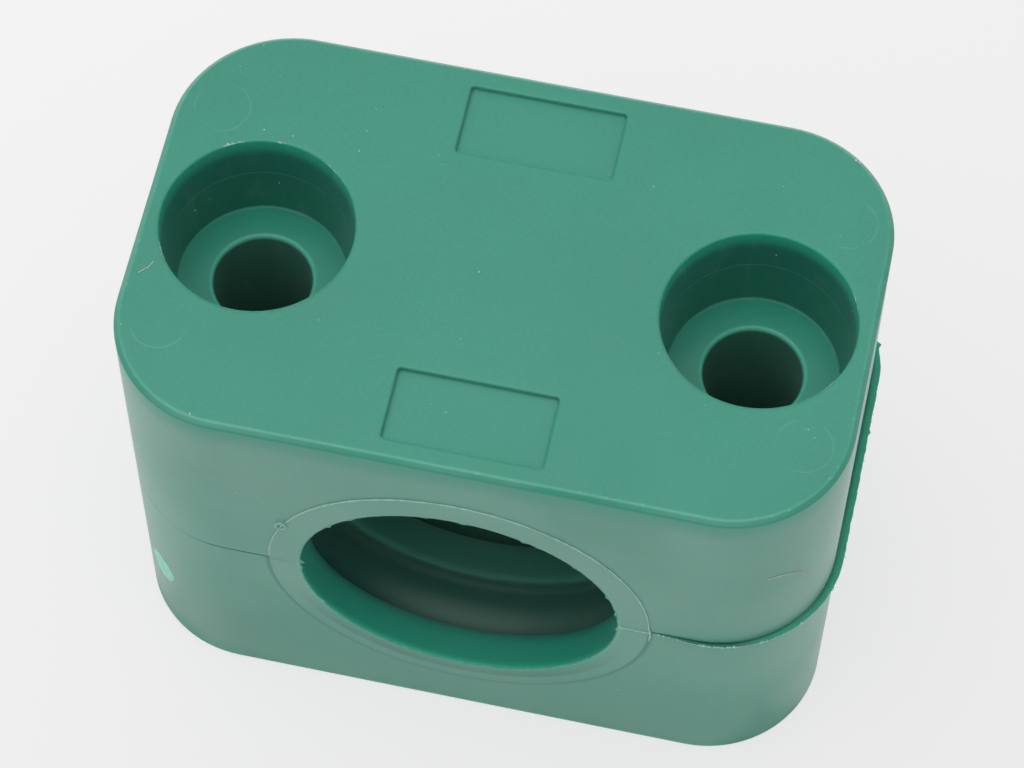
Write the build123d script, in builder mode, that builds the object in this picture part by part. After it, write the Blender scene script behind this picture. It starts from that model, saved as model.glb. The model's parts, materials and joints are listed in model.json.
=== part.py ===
"""Two-piece clamp for one hydraulic tube, light series, moulded in polypropylene.

The clamp is two identical mouldings that close around the tube at a flat seam.
Each half has a half-round gripping bore with ribs across the tube, and a well
for the head of each of the two bolts that pull the halves together.

Origin: the tube axis at the middle of the clamp, on the seam.
X runs along the line of bolts, Y along the tube and Z up. Lengths are in millimetres.
"""

import os

from build123d import *

# Body of one half. Its edges are broken at the outer face and, less, at the seam.
body_length = 48.0
body_width = 29.8
half_height = 17.5
corner_radius = 8.0
outer_edge_break = 0.35
seam_edge_break = 0.06

# Gripping bore. The front and back lands are plain, and grooves lie between them.
tube_diameter = 21.3
tube_clearance = 0.15
groove_count = 4
groove_width = 4.2
rib_width = 2.65
groove_depth = 1.2

# Ring round the bore that the mould's bore insert leaves, a little proud of the walls.
insert_ring_width = 2.1
insert_ring_proud = 0.06

# Bolt holes, each with a tapered well for the bolt head and its washer.
bolt_pitch = 33.0
bolt_diameter = 6.0
bolt_clearance = 0.3
hole_rim_break = 0.2
well_mouth_diameter = 12.8
well_floor_diameter = 11.4
well_depth = 7.1

# Two shallow label panels on the outer face.
label_length = 10.5
label_width = 5.2
label_depth = 0.4
label_corner_radius = 0.25
label_edge_distance = 1.5

# How far a cutting shape runs past the face that it opens.
overrun = 1.0

# Sizes that follow from the ones above.
bore_radius = tube_diameter / 2 + tube_clearance
groove_pitch = groove_width + rib_width
insert_ring_radius = bore_radius + insert_ring_width
hole_radius = bolt_diameter / 2 + bolt_clearance
well_mouth_radius = well_mouth_diameter / 2
well_floor_radius = well_floor_diameter / 2
well_floor_z = half_height - well_depth
label_pitch = body_width - 2 * label_edge_distance - label_width


# The space that one bolt needs: its shank hole, and above it the well for the head.
with BuildPart() as bolt_well:
    with BuildSketch(Plane.XZ):
        with BuildLine():
            Polyline(
                (0, -overrun),
                (hole_radius, -overrun),
                (hole_radius, well_floor_z - hole_rim_break),
                (hole_radius + hole_rim_break, well_floor_z),
                (well_floor_radius, well_floor_z),
                (well_mouth_radius, half_height),
                (well_mouth_radius, half_height + overrun),
                (0, half_height + overrun),
                close=True,
            )
        make_face()
    revolve(axis=Axis.Z)


# One moulding, seam down.
with BuildPart() as moulding:
    with BuildSketch(Plane.XY):
        RectangleRounded(body_length, body_width, corner_radius)
    extrude(amount=half_height)
    chamfer(faces().sort_by(Axis.Z)[-1].edges(), length=outer_edge_break)
    chamfer(faces().sort_by(Axis.Z)[0].edges(), length=seam_edge_break)

    # The insert's half ring, front and back.
    with BuildSketch(Plane.XZ):
        Circle(insert_ring_radius)
        Rectangle(
            2 * insert_ring_radius,
            insert_ring_radius,
            align=(Align.CENTER, Align.MAX),
            mode=Mode.SUBTRACT,
        )
    extrude(amount=body_width / 2 + insert_ring_proud, both=True)

    # The bore, with its grooves spread evenly about the middle.
    with BuildSketch(Plane.XY):
        Rectangle(bore_radius, body_width + 2 * overrun, align=(Align.MIN, Align.CENTER))
        with GridLocations(0, groove_pitch, 1, groove_count):
            Rectangle(bore_radius + groove_depth, groove_width, align=(Align.MIN, Align.CENTER))
    revolve(axis=Axis.Y, mode=Mode.SUBTRACT)

    # A hole and a well for each bolt.
    with GridLocations(bolt_pitch, 0, 2, 1):
        add(bolt_well.part, mode=Mode.SUBTRACT)

    # Label panels, one each side of the tube's crown.
    with BuildSketch(Plane.XY.offset(half_height)):
        with GridLocations(0, label_pitch, 1, 2):
            RectangleRounded(label_length, label_width, label_corner_radius)
    extrude(amount=-label_depth, mode=Mode.SUBTRACT)


# The clamp: one moulding as it is, and the same one turned over about the tube axis.
with BuildPart() as upper_half:
    add(moulding.part)

with BuildPart() as lower_half:
    add(moulding.part, rotation=(0, 180, 0))


os.makedirs("parts", exist_ok=True)
upper_half.part.label = "upper_half"
lower_half.part.label = "lower_half"
export_step(upper_half.part, "parts/upper_half.step")
export_step(lower_half.part, "parts/lower_half.step")
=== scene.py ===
"""Looks of the hydraulic tube clamp: two halves moulded in green polypropylene.

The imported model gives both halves. This script finishes their plastic, adds what moulding
and handling left on them (flash, burrs, crumbs, gate marks, lint and dust) and a fin that
stands for the lower half's small shift, and sets the clamp on a pale floor in soft light.
Lengths are in metres, and MM turns millimetres into them, but the plastic's masks work in
millimetres throughout.
"""

import json
import logging
import math
import random
from dataclasses import astuple, dataclass, field
from enum import Enum
from functools import cached_property, reduce
from typing import ClassVar, Dict, List, Optional, Sequence, Tuple, Union

import bmesh
import bpy
from mathutils import Matrix, Vector, noise


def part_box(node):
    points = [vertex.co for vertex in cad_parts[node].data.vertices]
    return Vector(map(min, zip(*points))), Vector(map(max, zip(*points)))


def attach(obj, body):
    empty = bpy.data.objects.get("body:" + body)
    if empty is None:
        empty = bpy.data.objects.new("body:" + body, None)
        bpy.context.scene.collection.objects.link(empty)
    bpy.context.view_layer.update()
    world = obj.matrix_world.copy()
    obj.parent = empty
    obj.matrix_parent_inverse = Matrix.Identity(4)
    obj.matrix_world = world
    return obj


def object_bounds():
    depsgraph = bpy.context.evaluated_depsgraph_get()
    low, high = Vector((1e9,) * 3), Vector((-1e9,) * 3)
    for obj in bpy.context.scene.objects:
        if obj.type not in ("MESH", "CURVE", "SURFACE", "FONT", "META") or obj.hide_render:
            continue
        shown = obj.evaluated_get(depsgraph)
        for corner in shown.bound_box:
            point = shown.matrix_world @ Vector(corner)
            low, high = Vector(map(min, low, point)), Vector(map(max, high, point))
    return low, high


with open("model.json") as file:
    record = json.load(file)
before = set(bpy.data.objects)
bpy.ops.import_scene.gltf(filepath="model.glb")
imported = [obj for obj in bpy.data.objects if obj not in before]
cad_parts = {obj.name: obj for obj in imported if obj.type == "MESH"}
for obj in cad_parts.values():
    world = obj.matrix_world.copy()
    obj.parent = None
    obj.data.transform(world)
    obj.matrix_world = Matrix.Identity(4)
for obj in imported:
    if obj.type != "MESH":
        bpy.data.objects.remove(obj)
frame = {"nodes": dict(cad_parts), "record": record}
CAD_LOW, CAD_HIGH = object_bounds()

MM = 0.001
BODY = "root"
WHITE = (1.0, 1.0, 1.0)

Colour = Tuple[float, float, float]
Span = Tuple[float, float]
Setting = Union[str, float, bool, Sequence[object]]
log = logging.getLogger("tube_clamp")


class Half(Enum):
    """The two halves, by the sign of the side of the seam that each lies on."""

    UPPER = 1
    LOWER = -1

    @property
    def node(self) -> str:
        """Name of the half's node in the frame."""
        return f"{self.name.lower()}_half"


@dataclass(frozen=True)
class ClampSizes:
    """Sizes that the finishes and the small pieces are placed by."""

    half_length: float
    half_width: float
    half_height: float
    bore_radius: float
    bolt_offset: float
    ring_proud: float = 0.06 * MM
    ring_width: float = 2.1 * MM
    corner_radius: float = 8.0 * MM
    outer_edge_break: float = 0.35 * MM
    well_mouth_radius: float = 6.4 * MM
    well_floor_radius: float = 5.7 * MM
    well_depth: float = 7.1 * MM
    witness_depth: float = 3.4 * MM
    pin_mark_x: float = 20.9 * MM
    pin_mark_y: float = 8.3 * MM
    pin_mark_radius: float = 1.85 * MM
    hole_radius: float = 3.3 * MM
    hole_rim_break: float = 0.2 * MM

    @classmethod
    def from_frame(cls) -> "ClampSizes":
        """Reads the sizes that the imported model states.

        Returns:
            The sizes, with the small ones at their usual values.
        """
        mounts = {mount["name"]: mount["dims"] for mount in frame["record"]["mounts"]}
        low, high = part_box(Half.UPPER.node)
        return cls(
            half_length=(high.x - low.x) / 2,
            half_width=(high.y - low.y) / 2 - cls.ring_proud,
            half_height=high.z,
            bore_radius=mounts["tube_bore"]["r_mm"] * MM,
            bolt_offset=mounts["bolts"]["spacing_x_mm"] * MM / 2,
        )

    def in_millimetres(self) -> "ClampSizes":
        """The same sizes in millimetres."""
        return ClampSizes(*(length / MM for length in astuple(self)))

    @property
    def ring_radius(self) -> float:
        """Outer radius of the ring that the bore insert leaves on the front and back."""
        return self.bore_radius + self.ring_width

    @property
    def ring_face(self) -> float:
        """How far the ring's face lies from the middle of the clamp, along the tube."""
        return self.half_width + self.ring_proud

    @property
    def edge_level(self) -> float:
        """Where the walls end and the broken outer edge starts, from the seam."""
        return self.half_height - self.outer_edge_break


class Wire:
    """An output of a shader node. Python's operators on it add Math nodes."""

    def __init__(self, board: "Board", socket: Optional[bpy.types.NodeSocket]) -> None:
        """Wraps a socket.

        Args:
            board: the node tree that the socket is in.
            socket: the output socket, or None for a node that has none.
        """
        self.board = board
        self.socket = socket

    def __add__(self, other: "Number") -> "Wire":
        """self + other."""
        return self.board.math("ADD", self, other)

    def __radd__(self, other: "Number") -> "Wire":
        """other + self."""
        return self.board.math("ADD", other, self)

    def __sub__(self, other: "Number") -> "Wire":
        """self - other."""
        return self.board.math("SUBTRACT", self, other)

    def __rsub__(self, other: "Number") -> "Wire":
        """other - self."""
        return self.board.math("SUBTRACT", other, self)

    def __mul__(self, other: "Number") -> "Wire":
        """self * other."""
        return self.board.math("MULTIPLY", self, other)

    def __rmul__(self, other: "Number") -> "Wire":
        """other * self."""
        return self.board.math("MULTIPLY", other, self)

    def __abs__(self) -> "Wire":
        """The size of self, without its sign."""
        return self.board.math("ABSOLUTE", self)


Number = Union[Wire, float]
Input = Union[Wire, float, Sequence[float]]


@dataclass(frozen=True)
class Patches:
    """Soft patches: noise, 0 where it is low and 1 where it is high."""

    scale: float
    detail: float
    low: float
    high: float


class Board:
    """The node tree of one material or of the world, with short ways to add to it."""

    def __init__(self, owner: Union[bpy.types.Material, bpy.types.World]) -> None:
        """Empties the owner's node tree.

        Args:
            owner: the material or world that the nodes belong to.
        """
        owner.use_nodes = True
        self.tree = owner.node_tree
        self.tree.nodes.clear()

    def add(
        self,
        kind: str,
        settings: Optional[Dict[str, Setting]] = None,
        inputs: Optional[Dict[Union[int, str], Input]] = None,
        output: Union[int, str] = 0,
    ) -> Wire:
        """Adds one node.

        Args:
            kind: the node's type, without its ShaderNode prefix.
            settings: the node's own properties.
            inputs: a value or a wire for each named or numbered input.
            output: the output that is wanted.

        Returns:
            The wanted output.
        """
        node = self.tree.nodes.new(f"ShaderNode{kind}")
        for name, value in (settings or {}).items():
            setattr(node, name, value)
        for key, value in (inputs or {}).items():
            socket = node.inputs[key]
            if isinstance(value, Wire):
                self.tree.links.new(value.socket, socket)
            elif isinstance(value, (tuple, list)) and socket.type == "RGBA" and len(value) == 3:
                socket.default_value = (*value, 1.0)
            else:
                socket.default_value = value
        return Wire(self, node.outputs[output] if node.outputs else None)

    def math(self, operation: str, first: Number, second: Number = 0.0) -> Wire:
        """Adds a Math node."""
        return self.add("Math", {"operation": operation}, {0: first, 1: second})

    def largest(self, *values: Number) -> Wire:
        """The largest of two or more values."""
        return reduce(lambda first, second: self.math("MAXIMUM", first, second), values)

    def vector(self, operation: str, first: Input, second: Input = (0.0, 0.0, 0.0)) -> Wire:
        """Adds a Vector Math node that gives a vector."""
        return self.add("VectorMath", {"operation": operation}, {0: first, 1: second})

    def length(self, vector: Wire) -> Wire:
        """The length of a vector."""
        return self.add("VectorMath", {"operation": "LENGTH"}, {0: vector}, "Value")

    def part(self, vector: Wire, axis: str) -> Wire:
        """The part of a vector along one axis."""
        return self.add("SeparateXYZ", None, {0: vector}, axis)

    def blend(self, share: Number, first: Input, second: Input) -> Wire:
        """The first colour, with that share of the second mixed in."""
        inputs = {"Factor": share, 6: first, 7: second}
        return self.add("Mix", {"data_type": "RGBA"}, inputs, 2)

    def layers(self, colour: Input, *coats: Tuple[Number, Input]) -> Wire:
        """Lays colours over a first one.

        Args:
            colour: the first colour.
            coats: the share and the colour of each coat, in order.

        Returns:
            The colour that shows.
        """
        for share, over in coats:
            colour = self.blend(share, colour, over)
        return colour

    def step(self, value: Wire, low: float, high: float) -> Wire:
        """A smooth step from 0, where value is low, to 1, where it is high."""
        inputs = {"Value": value, "From Min": low, "From Max": high}
        return self.add("MapRange", {"interpolation_type": "SMOOTHSTEP"}, inputs)

    def line(self, distance: Wire, width: float) -> Wire:
        """A soft line of that half-width, 1 where distance is 0."""
        return 1.0 - self.step(abs(distance), 0.0, width)

    def noise(self, place: Wire, scale: float, detail: float) -> Wire:
        """Noise over a place, about 0.5 on average, with that many finer layers."""
        return self.add("TexNoise", None, {"Vector": place, "Scale": scale, "Detail": detail})

    def patches(self, place: Wire, pattern: Patches) -> Wire:
        """Patches over a place."""
        spots = self.noise(place, pattern.scale, pattern.detail)
        return self.step(spots, pattern.low, pattern.high)

    def finish(self, surface: Wire, kind: str = "OutputMaterial") -> None:
        """Sends the surface to the tree's output."""
        self.add(kind, None, {"Surface": surface})


class Place:
    """Where a point of a half is, as shader values in millimetres."""

    face_band: Span = (-0.06, -0.02)
    wall_softness: float = 0.05
    off_walls_start: Span = (-0.20, 0.08)
    bore_margin: float = 0.9

    def __init__(self, board: Board, sizes: ClampSizes) -> None:
        """Adds the nodes that the masks share.

        Args:
            board: the material's nodes.
            sizes: the clamp's sizes, in metres.
        """
        self.board = board
        self.sizes = sizes.in_millimetres()
        local = board.add("TexCoord", output="Object")
        scaled = {0: local, "Scale": 1.0 / MM}
        self.point = board.add("VectorMath", {"operation": "SCALE"}, scaled)
        folded = board.vector("ABSOLUTE", self.point)
        self.flat = board.vector("MULTIPLY", folded, (1.0, 1.0, 0.0))
        self.x, self.z = (board.part(self.point, axis) for axis in "XZ")
        self.depth, self.height = (board.part(folded, axis) for axis in "YZ")
        self.from_axis = board.length(board.vector("MULTIPLY", self.point, (1.0, 0.0, 1.0)))
        self.from_bolt = self.flat_distance(self.sizes.bolt_offset, 0.0)

    def flat_distance(self, x: float, y: float) -> Wire:
        """Distance from a point and its mirror images, seen from above."""
        return self.board.length(self.board.vector("SUBTRACT", self.flat, (x, y, 0.0)))

    def patches(self, pattern: Patches) -> Wire:
        """Patches over the half."""
        return self.board.patches(self.point, pattern)

    def below(self, value: Wire, limit: float, softness: float = 0.06) -> Wire:
        """1 where a value is under the limit and 0 where it is over by the softness."""
        return 1.0 - self.board.step(value, limit, limit + softness)

    def about(self, value: Wire, level: float, span: Span) -> Wire:
        """A step from 0 to 1 over a span of distances from a level."""
        return self.board.step(value, level + span[0], level + span[1])

    @cached_property
    def inset(self) -> Wire:
        """How far inside the body's outline a point is, seen from above.

        Returns:
            The distance, less than 0 outside.
        """
        board, sizes = self.board, self.sizes
        radius = sizes.corner_radius
        core = (sizes.half_length - radius, sizes.half_width - radius, 0.0)
        past = board.vector("SUBTRACT", self.flat, core)
        return radius - board.length(board.vector("MAXIMUM", past))

    @cached_property
    def outer_face(self) -> Wire:
        """1 on the outer face of a half and 0 elsewhere."""
        return self.about(self.height, self.sizes.half_height, self.face_band)

    @cached_property
    def end_face(self) -> Wire:
        """1 on the two faces that the bore opens in and 0 inside the body."""
        return self.about(self.depth, self.sizes.half_width, self.face_band)

    @cached_property
    def walls(self) -> Wire:
        """1 on the walls round the outside of a half and on its broken edges."""
        return self.below(self.inset, self.sizes.outer_edge_break, self.wall_softness)

    @cached_property
    def off_walls(self) -> Wire:
        """1 on what stands well out of the walls, and 0 on them."""
        return self.below(self.inset, *self.off_walls_start)

    @cached_property
    def in_bore(self) -> Wire:
        """1 near the tube axis, as far out as the floors of the grooves."""
        return self.below(self.from_axis, self.sizes.ring_radius - self.bore_margin)

    @cached_property
    def in_well(self) -> Wire:
        """1 inside the rims of the wells, seen from above."""
        return self.below(self.from_bolt, self.sizes.well_mouth_radius)

    @cached_property
    def cored(self) -> Wire:
        """1 in the wells, the bolt holes and the bore, which cores shaped, and 0 outside."""
        well = self.in_well * (1.0 - self.outer_face)
        return self.board.largest(well, self.in_bore * (1.0 - self.end_face))


@dataclass(frozen=True)
class Masks:
    """A group of masks, each 1 where its thing shows and 0 elsewhere, in millimetres."""

    place: Place

    @property
    def board(self) -> Board:
        """The material's nodes."""
        return self.place.board

    @property
    def sizes(self) -> ClampSizes:
        """The clamp's sizes in millimetres."""
        return self.place.sizes


@dataclass(frozen=True)
class Marks(Masks):
    """The marks that moulding and handling left on a half, and its painted shade lines and edge
    highlight.
    """

    pin_line: float = 0.07
    pin_gaps: Patches = Patches(0.42, 1.0, 0.42, 0.62)
    edge_line: float = 0.16
    edge_rise: Span = (-0.2, -0.1)
    edge_strength: float = 0.4
    edge_swell: float = 0.3
    edge_swells: Patches = Patches(2.2, 3.0, 0.30, 0.75)
    edge_dots: Patches = Patches(3.4, 1.0, 0.66, 0.74)
    under_edge_rise: Span = (-2.5, 0.3)
    under_edge_end: Span = (0.02, 0.08)
    speck_cells: float = 0.62
    speck_size: Span = (0.015, 0.045)
    speck_choice: Span = (0.80, 0.81)
    witness_line: float = 0.07
    witness_softness: float = 0.3
    crevice_gap: float = 0.14
    crevice_line: float = 0.36
    crevice_strength: float = 0.7
    crevice_start: Span = (-0.25, 0.5)
    crevice_foot: float = 0.65
    crevice_narrows: Span = (-9.0, -3.0)
    crevice_face: Span = (-0.4, -0.2)
    seam_line: float = 0.14
    seam_off_ring: Span = (0.0, 0.1)
    seam_depth: Span = (13.4, 14.8)
    seam_right: Span = (0.0, 0.1)
    seam_left: Span = (-18.6, -16.8)
    foot_fade: Span = (-10.0, 8.0)
    foot_side: Span = (-19.0, -10.0)
    plain_crevice: float = 0.95
    plain_foot: float = 0.5
    plain_off_walls: float = 0.8

    @cached_property
    def pins(self) -> Wire:
        """Broken circles that the ejector pins leave on the outer face.

        Returns:
            Their mask.
        """
        place, sizes = self.place, self.sizes
        from_pin = place.flat_distance(sizes.pin_mark_x, sizes.pin_mark_y)
        circle = self.board.line(from_pin - sizes.pin_mark_radius, self.pin_line)
        return circle * place.patches(self.pin_gaps) * place.outer_face

    @cached_property
    def edge(self) -> Wire:
        """A thin painted highlight where the outer face meets its broken edge, with paler dots.

        Returns:
            Its mask, which passes 1 at a dot.
        """
        place, sizes = self.place, self.sizes
        line = self.board.line(place.inset - sizes.outer_edge_break, self.edge_line)
        line = line * place.about(place.height, sizes.half_height, self.edge_rise)
        uneven = self.edge_swell * place.patches(self.edge_swells)
        return line * (self.edge_strength + uneven + place.patches(self.edge_dots))

    @cached_property
    def under_edge(self) -> Wire:
        """The walls just under the outer edge, which the haze fades towards.

        Returns:
            Their mask.
        """
        place, level = self.place, self.sizes.edge_level
        fade = place.about(place.height, level, self.under_edge_rise)
        return fade * place.below(place.height - level, *self.under_edge_end) * place.walls

    @cached_property
    def specks(self) -> Wire:
        """Pale specks, a few in each square centimetre.

        Returns:
            Their mask.
        """
        board = self.board
        cells = {"Vector": self.place.point, "Scale": self.speck_cells}
        from_middle = board.add("TexVoronoi", {"feature": "F1"}, cells, "Distance")
        cell_colour = board.add("TexVoronoi", {"feature": "F1"}, cells, "Color")
        chance = board.add("SeparateColor", None, {0: cell_colour}, 0)
        chosen = board.step(chance, *self.speck_choice)
        return (1.0 - board.step(from_middle, *self.speck_size)) * chosen

    @cached_property
    def witness(self) -> Wire:
        """The faint step part of the way down each well.

        Returns:
            Its mask.
        """
        place, sizes = self.place, self.sizes
        level = sizes.half_height - sizes.witness_depth
        inside = place.below(place.from_bolt, sizes.well_mouth_radius, self.witness_softness)
        return self.board.line(place.height - level, self.witness_line) * inside

    @cached_property
    def ring_crevice(self) -> Wire:
        """Painted shadow under the step of the insert's ring on the lower half, wider at its foot.

        Returns:
            Its mask.
        """
        place, board, sizes = self.place, self.board, self.sizes
        past_ring = place.from_axis - (sizes.ring_radius + self.crevice_gap)
        narrowed = board.step(place.z, *self.crevice_narrows)
        narrowed = self.crevice_foot + (1.0 - self.crevice_foot) * narrowed
        line = board.line(past_ring * narrowed, self.crevice_line)
        line = line * place.below(place.z, *self.crevice_start) * self.crevice_strength
        return line * place.about(place.depth, sizes.half_width, self.crevice_face)

    @cached_property
    def seam_crevice(self) -> Wire:
        """Painted shade along the seam on the front and back, which stops before the ends.

        Returns:
            Its mask.
        """
        place, board = self.place, self.board
        right = board.step(place.x, *self.seam_right) * board.step(place.depth, *self.seam_depth)
        left = board.step(place.x, *self.seam_left) * place.below(place.x, 0.0)
        off_ring = place.about(place.from_axis, self.sizes.ring_radius, self.seam_off_ring)
        return board.line(place.z, self.seam_line) * (right + left) * off_ring

    @cached_property
    def crevice(self) -> Wire:
        """Both painted shade lines."""
        return self.board.largest(self.ring_crevice, self.seam_crevice)

    @cached_property
    def hazeless(self) -> Wire:
        """How far the haze of the outer walls gives way to plain plastic.

        Returns:
            The share of plain plastic.
        """
        place, board = self.place, self.board
        foot = place.below(place.z, *self.foot_fade) * board.step(place.x, *self.foot_side)
        return board.largest(
            self.crevice * self.plain_crevice,
            self.under_edge,
            foot * place.walls * self.plain_foot,
            place.off_walls * self.plain_off_walls,
        )


@dataclass(frozen=True)
class Insides(Masks):
    """The places in the wells, the holes and the bore."""

    floor_line: float = 0.10
    rim_rise: Span = (-1.6, -0.3)
    hole_line: float = 0.20
    hole_line_depth: float = 0.5
    hole_edge: float = 0.03
    groove_rise: Span = (0.2, 0.9)
    land_edge: float = 0.05
    mouth_rise: Span = (-6.0, -0.5)
    lip_rise: Span = (-0.26, 0.0)
    far_start: float = 5.0
    far_fade: float = 3.6
    grey_middle: float = 3.8
    grey_line: float = 1.9
    grey_level: Span = (-9.0, 4.0)
    grey_left: Span = (-9.0, -2.0)
    grey_right: Span = (0.0, 8.0)
    grey_right_loss: float = 0.6
    scuff_stretch: Colour = (0.9, 0.9, 0.35)
    scuff_smears: Patches = Patches(1.0, 4.0, 0.50, 0.72)

    @property
    def floor_level(self) -> float:
        """Level of the floors of the wells, from the seam."""
        return self.sizes.half_height - self.sizes.well_depth

    @cached_property
    def well_floor(self) -> Wire:
        """The floors of the wells."""
        line = self.board.line(self.place.height - self.floor_level, self.floor_line)
        return line * self.place.in_well

    @cached_property
    def well_rim(self) -> Wire:
        """The top of the well walls, where painted light stands for light coming through."""
        place = self.place
        return place.about(place.height, self.sizes.half_height, self.rim_rise) * place.in_well

    @cached_property
    def hole_rim(self) -> Wire:
        """The broken rims of the bolt holes, which get a painted highlight.

        Returns:
            Their mask.
        """
        place, board, sizes = self.place, self.board, self.sizes
        middle = sizes.hole_radius + sizes.hole_rim_break / 2
        rim = board.line(place.from_bolt - middle, self.hole_line)
        return rim * board.line(place.height - self.floor_level, self.hole_line_depth)

    @cached_property
    def hole(self) -> Wire:
        """The walls of the bolt holes."""
        return self.place.below(self.place.from_bolt, self.sizes.hole_radius + self.hole_edge)

    @cached_property
    def bore(self) -> Wire:
        """The bore, but not where the wells cut near it."""
        return self.place.in_bore * (1.0 - self.place.in_well)

    @cached_property
    def groove(self) -> Wire:
        """The grooves of the bore, from part of the way down their sides, where painted shade goes.
        """
        sunk = self.place.about(self.place.from_axis, self.sizes.bore_radius, self.groove_rise)
        return sunk * self.bore

    @cached_property
    def far_bore(self) -> Wire:
        """The bore well inside the mouths."""
        start = self.sizes.half_width - self.far_start
        return self.bore * self.place.below(self.place.depth, start, self.far_fade)

    def near_mouth(self, span: Span) -> Wire:
        """The lands and the rib crowns near the mouths of the bore, which get painted light.

        Args:
            span: where they start and are reached in full, from the faces.

        Returns:
            Their mask.
        """
        place, sizes = self.place, self.sizes
        crown = place.below(place.from_axis, sizes.bore_radius + self.land_edge)
        return place.about(place.depth, sizes.half_width, span) * crown * self.bore

    @cached_property
    def grey_reflection(self) -> Wire:
        """The painted reflection in the first groove, low in the bore.

        Returns:
            Its mask.
        """
        place, board = self.place, self.board
        middle = self.sizes.half_width - self.grey_middle
        patch = board.line(place.depth - middle, self.grey_line)
        patch = patch * place.below(place.z, *self.grey_level) * board.step(place.x, *self.grey_left)
        lost = self.grey_right_loss * board.step(place.x, *self.grey_right)
        return patch * (1.0 - lost) * self.bore

    @cached_property
    def scuffs(self) -> Wire:
        """Smears down the walls of the wells.

        Returns:
            Their mask.
        """
        drawn = self.board.vector("MULTIPLY", self.place.point, self.scuff_stretch)
        smears = self.board.patches(drawn, self.scuff_smears)
        return smears * self.place.in_well * (1.0 - self.well_floor)


@dataclass(frozen=True)
class Relief:
    """The fine relief of the plastic: rounded edges, the mould's grain and draw lines."""

    edge_rounding: float = 0.32 * MM
    fine_edge_reach: float = 0.8
    fine_edge_loss: float = 0.82
    ring_depth: Span = (14.0, 14.5)
    bore_gain: float = 1.9
    bore_start: float = 1.2
    bore_fade: float = 0.4
    grain_scale: float = 5.5
    draw_stretch: Colour = (3.2, 3.2, 0.25)
    draw_height: float = 0.6
    pin_height: float = 1.2
    witness_depth: float = 2.0
    grain_height: float = 0.012 * MM
    strength: float = 0.5

    def normal(self, place: Place, marks: Marks) -> Wire:
        """The normal of the surface.

        Args:
            place: where the point is.
            marks: what the mould left.

        Returns:
            The normal.
        """
        board, sizes = place.board, place.sizes
        height = board.noise(place.point, self.grain_scale, 3.0)
        drawn = board.vector("MULTIPLY", place.point, self.draw_stretch)
        drawn = board.noise(drawn, 1.0, 2.0) * (1.0 - place.outer_face)
        height = height + drawn * self.draw_height + marks.pins * self.pin_height
        height = height - marks.witness * self.witness_depth
        ring_edge = board.line(place.from_axis - sizes.ring_radius, self.fine_edge_reach)
        ring_edge = ring_edge * board.step(place.depth, *self.ring_depth)
        fine = board.largest(board.line(place.z, self.fine_edge_reach), ring_edge)
        bore = place.below(place.depth, sizes.half_width - self.bore_start, self.bore_fade)
        reach = 1.0 + place.in_bore * bore * self.bore_gain - fine * self.fine_edge_loss
        rounded = board.add("Bevel", {"samples": 6}, {"Radius": reach * self.edge_rounding})
        bump = {"Strength": self.strength, "Distance": self.grain_height}
        return board.add("Bump", None, {**bump, "Height": height, "Normal": rounded})


@dataclass(frozen=True)
class SkinShares:
    """How much of each coat of colour shows on the outer walls and faces, from 0 to 1."""

    drift: float = 0.28
    mottle: float = 0.32
    painted_haze: float = 0.10
    # painted shade towards the bottom of the walls
    low: float = 0.35
    ring: float = 0.05
    upper_rim_glow: float = 0.35
    extra_lower_rim_glow: float = 0.5
    broken_edge: float = 0.03
    # painted highlight along the outer edge, and a little paler with it
    edge_line: float = 0.26
    edge_paling: float = 0.06
    pins: float = 0.10
    seam: float = 0.5
    specks: float = 0.8


@dataclass(frozen=True)
class CoreShares:
    """How much of each coat of colour shows in the wells, the holes and the bore."""

    far_bore: float = 0.75
    groove: float = 0.6
    grey_reflection: float = 0.19
    hole_glare: float = 0.08
    lit_rim: float = 0.95
    well_rim_glow: float = 0.12
    well_floor: float = 0.75
    mouth: float = 0.62
    lip: float = 0.55
    under_edge: float = 0.03
    hole_rim: float = 0.7
    hole_rim_paling: float = 0.06
    witness: float = 0.12
    specks: float = 0.5
    scuffs: float = 0.035
    floor_dust: float = 0.015


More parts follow.
